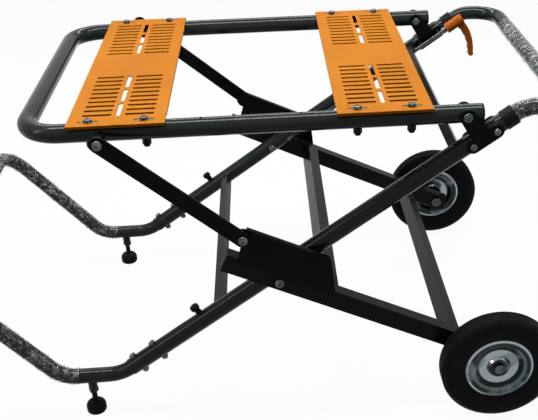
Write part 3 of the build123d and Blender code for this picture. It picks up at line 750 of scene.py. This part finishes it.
# %% Socket rings of each body, in millimetres of the drawing
TOP_PIVOT, LEG_BOLT = (421.5, 682.5), tuple(place_at / MM for place_at in LEG_PIVOT)
STRAP_TOP, STRAP_FOOT = (-293.0, 682.5), (-34.0, 459.0)
CLAMP_BOLTS_S = (485.5, 540.5)
PLATE_FACE_Y, LEG_FACE_Y, STRAP_TOP_Y, STRAP_FOOT_Y = 357.3, 386.6, 400.4, 400.1
PIVOT_R, LEG_BOLT_R, CLAMP_R, STRAP_R = 6.3, 7.8, 3.9, 6.8
leg_heads = []
for side in (-1, 1):
    leg_heads.append(TOP_PIVOT + (side * PLATE_FACE_Y, PIVOT_R))
    leg_heads.append(LEG_BOLT + (side * LEG_FACE_Y, LEG_BOLT_R))
    for s in CLAMP_BOLTS_S:
        x, z = on_leg(s * MM, 0.0)
        leg_heads.append(((x - SHIFT_X) / MM, z / MM, side * PLATE_FACE_Y, CLAMP_R))
top_heads = [STRAP_TOP + (side * STRAP_TOP_Y, STRAP_R) for side in (-1, 1)]
socket_set("bolt_sockets_leg_frame", leg_heads, "leg_frame")
socket_set("bolt_sockets_top_frame", top_heads, "top_frame")
socket_set("bolt_socket_strap_near", [STRAP_FOOT + (-STRAP_FOOT_Y, STRAP_R)], "strap_near")
socket_set("bolt_socket_strap_far", [STRAP_FOOT + (STRAP_FOOT_Y, STRAP_R)], "strap_far")

# %% [markdown]
# ## Packing film
# The toe loop and the handle are still wrapped in clear film. Film is thin and flat-faced: it
# takes sharp creases, lies close to the tube here and stands off there, and sparkles where a
# crease faces a lamp. The material is mostly see-through and turns whiter along the creases,
# which are the edges of warped cells, broken up by noise so that no net is seen.

# %% Film material
CELL_SCALE = 100.0
CELL_WARP = 0.03
CREASE_WIDTH = 0.075
CREASE_WHITE = 0.9
FILM_GREY = (0.42, 0.44, 0.46, 1)
film_creases, enter, leave = start_group(
    "film_creases", [("Clear", "Float", 0.1), ("White", "Float", 0.6)],
    [("Alpha", "Float"), ("Roughness", "Float"), ("Height", "Float")])
where = add(film_creases, "ShaderNodeTexCoord")
bend_noise = noise_at(film_creases, scale=40.0, detail=2.0)
warp = add(film_creases, "ShaderNodeVectorMath", operation="MULTIPLY_ADD")
join(film_creases, bend_noise.outputs["Color"], warp.inputs[0])
warp.inputs[1].default_value = (CELL_WARP, CELL_WARP, CELL_WARP)
join(film_creases, where.outputs["Object"], warp.inputs[2])
folds = add(film_creases, "ShaderNodeTexVoronoi", feature="DISTANCE_TO_EDGE")
folds.inputs["Scale"].default_value = CELL_SCALE
join(film_creases, warp.outputs["Vector"], folds.inputs["Vector"])
creased = remap(film_creases, folds.outputs["Distance"], (0.0, CREASE_WIDTH), (1.0, 0.0))
gaps = noise_at(film_creases, scale=75.0, detail=2.0)
kept = remap(film_creases, gaps.outputs["Fac"], (0.42, 0.55), (0.0, 1.0))
sharp = math_node(film_creases, "MULTIPLY", creased, kept)
haze = noise_at(film_creases, scale=55.0, detail=4.0, rough=0.65)
hazy = remap(film_creases, haze.outputs["Fac"], (0.56, 0.70), (0.0, 0.8))
sharp_white = math_node(film_creases, "MULTIPLY", sharp, CREASE_WHITE)
white = math_node(film_creases, "MAXIMUM", sharp_white, hazy)
white_part = math_node(film_creases, "MULTIPLY", white, enter.outputs["White"])
covered = math_node(film_creases, "ADD", white_part, enter.outputs["Clear"])
join(film_creases, covered, leave.inputs["Alpha"])
join(film_creases, remap(film_creases, hazy, (0, 1), (0.08, 0.22)), leave.inputs["Roughness"])
join(film_creases, sharp, leave.inputs["Height"])

clear_film, tree, shader = new_finish("clear_film", Base_Color=FILM_GREY, IOR=1.5,
                                      Specular_IOR_Level=0.25)
skin = place(tree, film_creases, Clear=0.02, White=0.66)
join(tree, skin.outputs["Alpha"], shader.inputs["Alpha"])
join(tree, skin.outputs["Roughness"], shader.inputs["Roughness"])
bump = add(tree, "ShaderNodeBump")
bump.inputs["Distance"].default_value = 0.6 * MM
bump.inputs["Strength"].default_value = 0.6
join(tree, skin.outputs["Height"], bump.inputs["Height"])
join(tree, bump.outputs["Normal"], shader.inputs["Normal"])
print("film finish made")

# %% [markdown]
# A smooth sleeve with a bump would not break the outline of the tube. So the sleeve itself is
# creased by ridged noise, has the step of a spiral lap, and is shaded flat. It is closed: an
# outer and an inner skin, joined at both ends.

# %% Film sleeve helpers
FILM_SIDES = 36
FILM_STEP = 3.2 * MM
FILM_THICK = 0.2 * MM
LAP_PITCH = 70.0 * MM
FILM_GAP = 0.5 * MM
SLACK_LIFT = 1.5 * MM
SLACK_MORE = 0.15
CREASE_LIFT = 2.4 * MM
FINE_LIFT = 1.0 * MM
LAP_LIFT = 0.5 * MM
SLACK_WAVES, CREASE_WAVES, FINE_WAVES = (1.5, 20.0), (3.6, 62.0), (8.0, 150.0)


def film_height(angle, s, seed):
    """How far the film stands off the tube at one place."""
    c, d = math.cos(angle), math.sin(angle)
    around, ahead = SLACK_WAVES
    slack = noise.noise(Vector((around * c + seed, around * d, ahead * s)))
    around, ahead = CREASE_WAVES
    crease = abs(noise.noise(Vector((around * c, around * d + seed, ahead * s))))
    around, ahead = FINE_WAVES
    fine = abs(noise.noise(Vector((around * c, around * d, ahead * s + seed))))
    lap = (angle / (2 * math.pi) + s / LAP_PITCH) % 1.0
    loose = FILM_GAP + SLACK_LIFT * max(0.0, slack + SLACK_MORE)
    return loose + CREASE_LIFT * crease + FINE_LIFT * fine + LAP_LIFT * lap


def film_sleeve(name, corners, bends, node, seed):
    """A closed thin sleeve of creased film around one bent tube."""
    corners = [(x * MM + SHIFT_X, y * MM, z * MM) for x, y, z in corners]
    along, points = bent_line(corners, bends, FILM_STEP)
    frames = carried_frames(points, False)
    count = len(points)
    verts, faces = [], []
    for lift in (FILM_THICK, 0.0):
        for s, point, (p, q) in zip(along, points, frames):
            for j in range(FILM_SIDES):
                angle = 2 * math.pi * j / FILM_SIDES
                out = LOOP_R + lift + film_height(angle, float(s), seed)
                verts.append(point + out * (p * math.cos(angle) + q * math.sin(angle)))
    inner = count * FILM_SIDES
    for k in range(count - 1):
        for j in range(FILM_SIDES):
            a, b, j2 = k * FILM_SIDES, (k + 1) * FILM_SIDES, (j + 1) % FILM_SIDES
            faces.append((a + j, a + j2, b + j2, b + j))
            faces.append((inner + a + j, inner + b + j, inner + b + j2, inner + a + j2))
    last = (count - 1) * FILM_SIDES
    for j in range(FILM_SIDES):
        j2 = (j + 1) % FILM_SIDES
        faces.append((j, inner + j, inner + j2, j2))
        faces.append((last + j, last + j2, inner + last + j2, inner + last + j))
    piece = mesh_piece(name, verts, faces, clear_film, "leg_frame", False)
    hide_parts(node)
    print(name, "covers", round(float(along[-1]), 3), "m of tube with", len(faces), "faces")


# %% Film sleeves, corners in millimetres of the drawing
TUBE_Y = SIDE_Y / MM
TOE_FLOOR_Z, TOE_BEND_X, TOE_CROSS = 98, -457.7, (-686, 363.4)
TOE_FILM_NEAR_X, TOE_FILM_FAR_X = -420, -415
LOOP_BEND, HANDLE_BEND = 70 * MM, 64 * MM
toe_corners = [(TOE_FILM_NEAR_X, -TUBE_Y, TOE_FLOOR_Z), (TOE_BEND_X, -TUBE_Y, TOE_FLOOR_Z)]
toe_corners += [(TOE_CROSS[0], -TUBE_Y, TOE_CROSS[1]), (TOE_CROSS[0], TUBE_Y, TOE_CROSS[1])]
toe_corners += [(TOE_BEND_X, TUBE_Y, TOE_FLOOR_Z), (TOE_FILM_FAR_X, TUBE_Y, TOE_FLOOR_Z)]
film_sleeve("toe_wrap", toe_corners, [LOOP_BEND] * 4, "toe_film", seed=3.7)

HANDLE_Z, HANDLE_CROSS_X = 690, 632
HANDLE_FILM_START_S, HANDLE_FILM_END_Y = 590.2, 205
start_x, start_z = on_leg(HANDLE_FILM_START_S * MM, 0.0)
knee_x = LEG_PIVOT[0] / MM + (HANDLE_Z - LEG_PIVOT[1] / MM) / math.tan(LEG_ANGLE)
handle_corners = [((start_x - SHIFT_X) / MM, -TUBE_Y, start_z / MM), (knee_x, -TUBE_Y, HANDLE_Z)]
handle_corners += [(HANDLE_CROSS_X, -TUBE_Y, HANDLE_Z),
                   (HANDLE_CROSS_X, HANDLE_FILM_END_Y, HANDLE_Z)]
film_sleeve("handle_wrap", handle_corners, [LOOP_BEND, HANDLE_BEND], "handle_film", seed=11.3)

# %% [markdown]
# ## Floor and light
# The studio is white all round, but only for the camera, for reflections and for light that
# passes through clear things. For light that bounces between surfaces the floor is dark, so the
# undersides of the tubes stay dark. A little of the floor's brightness is left to the lamps: it
# keeps the shadow.

# %% Floor
FLOOR_HALF = 14
FLOOR_DROP = 0.5 * MM
FLOOR_GLOW = 0.95
LIT_FLOOR, BOUNCE_FLOOR = (0.50, 0.50, 0.50, 1), (0.08, 0.08, 0.08, 1)


def seen_directly(tree):
    """1 for rays of the camera, reflections and transmission, else 0."""
    path = add(tree, "ShaderNodeLightPath")
    direct = math_node(tree, "MAXIMUM", path.outputs["Is Camera Ray"],
                       path.outputs["Is Glossy Ray"])
    return math_node(tree, "MAXIMUM", direct, path.outputs["Is Transmission Ray"])


floor_mesh = bpy.data.meshes.new("studio_floor")
floor_corners = [(a * FLOOR_HALF, b * FLOOR_HALF, 0)
                 for a, b in ((-1, -1), (1, -1), (1, 1), (-1, 1))]
floor_mesh.from_pydata(floor_corners, [], [(0, 1, 2, 3)])
floor = bpy.data.objects.new("studio_floor", floor_mesh)
floor.location.z = -FLOOR_DROP
bpy.context.scene.collection.objects.link(floor)
pale_floor, tree, shader = new_finish("pale_floor", Roughness=0.9, Specular_IOR_Level=0.0)
bounced = add(tree, "ShaderNodeLightPath").outputs["Is Diffuse Ray"]
join(tree, blend_colour(tree, bounced, LIT_FLOOR, BOUNCE_FLOOR), shader.inputs["Base Color"])
glow = add(tree, "ShaderNodeEmission")
both = add(tree, "ShaderNodeMixShader")
join(tree, math_node(tree, "MULTIPLY", seen_directly(tree), FLOOR_GLOW), both.inputs["Fac"])
join(tree, shader.outputs["BSDF"], both.inputs[1])
join(tree, glow.outputs["Emission"], both.inputs[2])
join(tree, both.outputs["Shader"], tree.nodes["Material Output"].inputs["Surface"])
floor.data.materials.append(pale_floor)
print("floor", 2 * FLOOR_HALF, "m square")

# %% [markdown]
# Behind the floor is the world. It is full white where it is seen, and only a faint fill for the
# rest.

# %% World
WORLD_FILL = 0.14
world = bpy.data.worlds.new("studio_world")
bpy.context.scene.world = world
world.use_nodes = True
tree = world.node_tree
sky = tree.nodes["Background"]
sky.inputs["Color"].default_value = (1.0, 1.0, 1.0, 1)
join(tree, remap(tree, seen_directly(tree), (0, 1), (WORLD_FILL, 1.0)), sky.inputs["Strength"])
print("world light", WORLD_FILL)

# %% [markdown]
# Long narrow lamps above, behind and at both sides draw the thin pale lines on the dark tubes.
# They are strong, because the fill is faint, so the paints are written darker than they come out.

# %% Lamps
LAMP_AIM = (0, 0, 0.4)


def soft_lamp(name, place_at, size, power):
    """A rectangular soft lamp that faces the stand."""
    lamp_data = bpy.data.lights.new(name, "AREA")
    lamp_data.shape = "RECTANGLE"
    lamp_data.size, lamp_data.size_y = size
    lamp_data.energy = power
    lamp = bpy.data.objects.new(name, lamp_data)
    lamp.location = place_at
    lamp.rotation_euler = (Vector(LAMP_AIM) - Vector(place_at)).to_track_quat("-Z", "Y").to_euler()
    bpy.context.scene.collection.objects.link(lamp)


soft_lamp("top_lamp", (0.0, -0.2, 2.9), size=(2.8, 0.36), power=125.0)
soft_lamp("left_lamp", (-2.6, -1.2, 2.0), size=(0.3, 1.8), power=24.0)
soft_lamp("right_lamp", (2.8, -1.2, 1.8), size=(0.3, 1.6), power=18.0)
soft_lamp("back_lamp", (0.0, 1.9, 2.4), size=(2.8, 0.25), power=48.0)
bpy.context.scene.view_settings.view_transform = "Standard"
print("four soft lamps")
